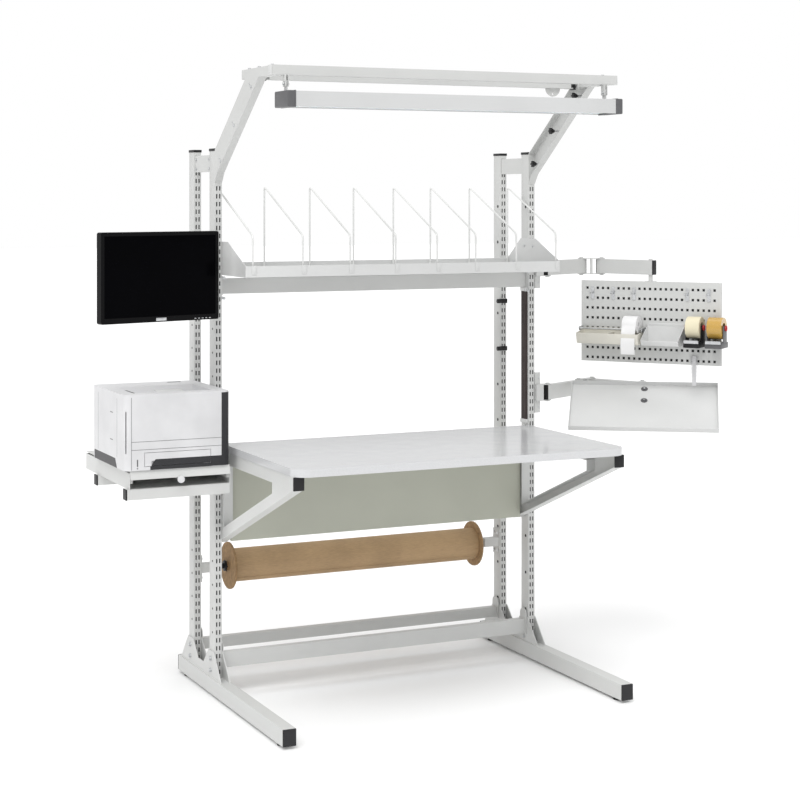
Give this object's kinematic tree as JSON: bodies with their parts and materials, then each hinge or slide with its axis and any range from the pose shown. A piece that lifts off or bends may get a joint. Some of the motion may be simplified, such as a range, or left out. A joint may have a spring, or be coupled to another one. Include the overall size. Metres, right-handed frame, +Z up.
{
  "type": "packing workstation",
  "caption": "Height-set packing bench with uprights, worktop, divider shelf, light canopy, swing-arm board, tray and screen, pull-out equipment shelf and paper roll.",
  "frame": {"origin": "on the floor, under the middle of the whole outline with the arms as they stand; the frame itself is centred 89 mm to the left of it and its front uprights stand 174 mm behind it", "axes": "+X to the right as a person stands at the worktop, +Y to the back, +Z up"},
  "size_m": [2.6184, 1.168, 2.35],
  "materials": {
    "frame": "light grey powder coat, fine texture",
    "dark_plastic": "moulded, dark grey",
    "zinc": "zinc plated",
    "card_flange": "pressed board disc",
    "kraft_paper": "brown kraft paper, wound",
    "laminate": "glossy light grey laminate on board",
    "panel_paint": "grey-green powder coat",
    "coated_wire": "light grey coated wire",
    "lamp_housing": "light grey sheet",
    "black_plastic": "black, glossy front",
    "printer_plastic": "white, fine texture"
  },
  "bodies": {
    "station": {"base_leg_left": "frame", "base_leg_right": "frame", "canopy_arm_left": "frame", "canopy_arm_right": "frame", "canopy_front_rail": "frame", "leg_cap_left_front": "dark_plastic", "leg_cap_left_rear": "dark_plastic", "leg_cap_right_front": "dark_plastic", "leg_cap_right_rear": "dark_plastic", "levelling_foot_left_front": "zinc", "levelling_foot_left_rear": "zinc", "levelling_foot_right_front": "zinc", "levelling_foot_right_rear": "zinc", "lower_arm_bracket": "frame", "lower_beam_front": "frame", "lower_beam_rear": "frame", "modesty_panel": "panel_paint", "monitor_bracket": "frame", "printer_carrier": "frame", "roll_bracket_left": "frame", "roll_bracket_right": "frame", "shelf_beam": "frame", "tool_rail": "frame", "top_tie_left": "frame", "top_tie_right": "frame", "upper_arm_bracket": "frame", "upper_shelf": "frame", "upright_front_left": "frame", "upright_front_right": "frame", "upright_rear_left": "frame", "upright_rear_right": "frame", "wire_divider_1": "coated_wire", "wire_divider_2": "coated_wire", "wire_divider_3": "coated_wire", "wire_divider_4": "coated_wire", "wire_divider_5": "coated_wire", "wire_divider_6": "coated_wire", "wire_divider_7": "coated_wire", "wire_divider_8": "coated_wire", "worktop": "laminate", "worktop_bracket_left": "frame", "worktop_bracket_right": "frame"},
    "roll": {"paper_roll": "kraft_paper", "roll_flange_left": "card_flange", "roll_flange_right": "card_flange"},
    "light": {"light_fixture": "lamp_housing"},
    "trolley": {"tool_trolley": "frame"},
    "upper_inner": {"upper_arm_inner": "frame"},
    "upper_link": {"upper_arm_link": "frame"},
    "upper_outer": {"upper_arm_outer": "frame"},
    "board": {"perforated_board": "frame"},
    "lower_inner": {"lower_arm_inner": "frame"},
    "lower_link": {"lower_arm_link": "frame"},
    "lower_outer": {"lower_arm_outer": "frame"},
    "tray": {"tilted_tray": "frame"},
    "screen_arm": {"monitor_arm": "frame"},
    "screen": {"monitor": "black_plastic"},
    "drawer": {"printer_drawer": "frame", "printer": "printer_plastic"},
    "cassette": {"paper_cassette": "printer_plastic"}
  },
  "joints": [
    {"name": "roll_spin", "type": "hinge", "parent": "station", "child": "roll", "pos_m": [-0.08872, 0.436, 0.437], "axis": [1, 0, 0], "continuous": true},
    {"name": "light_tilt", "type": "hinge", "parent": "station", "child": "light", "pos_m": [-0.08872, -0.444, 2.284], "axis": [1, 0, 0], "range_deg": [-25, 25]},
    {"name": "trolley_slide", "type": "slide", "parent": "station", "child": "trolley", "axis": [1, 0, 0], "range_m": [-1.1, 0.04]},
    {"name": "upper_arm_wall", "type": "hinge", "parent": "station", "child": "upper_inner", "pos_m": [0.66328, 0.174, 1.599], "axis": [0, 0, 1], "range_deg": [-45, 50]},
    {"name": "upper_arm_elbow_inner", "type": "hinge", "parent": "upper_inner", "child": "upper_link", "pos_m": [0.88533, 0.27754, 1.599], "axis": [0, 0, 1], "range_deg": [-30, 60]},
    {"name": "upper_arm_elbow_outer", "type": "hinge", "parent": "upper_link", "child": "upper_outer", "pos_m": [0.96327, 0.2412, 1.599], "axis": [0, 0, 1], "range_deg": [-30, 60]},
    {"name": "board_swivel", "type": "hinge", "parent": "upper_outer", "child": "board", "pos_m": [1.06292, 0.01738, 1.599], "axis": [0, 0, 1], "range_deg": [-45, 45]},
    {"name": "lower_arm_wall", "type": "hinge", "parent": "station", "child": "lower_inner", "pos_m": [0.66328, 0.174, 1.088], "axis": [0, 0, 1], "range_deg": [-25, 50]},
    {"name": "lower_arm_elbow_inner", "type": "hinge", "parent": "lower_inner", "child": "lower_link", "pos_m": [0.8796, 0.28902, 1.088], "axis": [0, 0, 1], "range_deg": [0, 60]},
    {"name": "lower_arm_elbow_outer", "type": "hinge", "parent": "lower_link", "child": "lower_outer", "pos_m": [0.96139, 0.3156, 1.088], "axis": [0, 0, 1], "range_deg": [0, 75]},
    {"name": "tray_swivel", "type": "hinge", "parent": "lower_outer", "child": "tray", "pos_m": [1.07452, 0.09828, 1.088], "axis": [0, 0, 1], "range_deg": [0, 40]},
    {"name": "screen_arm_wall", "type": "hinge", "parent": "station", "child": "screen_arm", "pos_m": [-0.81672, 0.204, 1.602], "axis": [0, 0, 1], "range_deg": [-60, 15]},
    {"name": "screen_swivel", "type": "hinge", "parent": "screen_arm", "child": "screen", "pos_m": [-1.08519, 0.049, 1.602], "axis": [0, 0, 1], "range_deg": [-50, 15]},
    {"name": "drawer_slide", "type": "slide", "parent": "station", "child": "drawer", "axis": [0, -1, 0], "range_m": [0, 0.3]},
    {"name": "cassette_slide", "type": "slide", "parent": "drawer", "child": "cassette", "axis": [0, -1, 0], "range_m": [0, 0.25]}
  ]
}
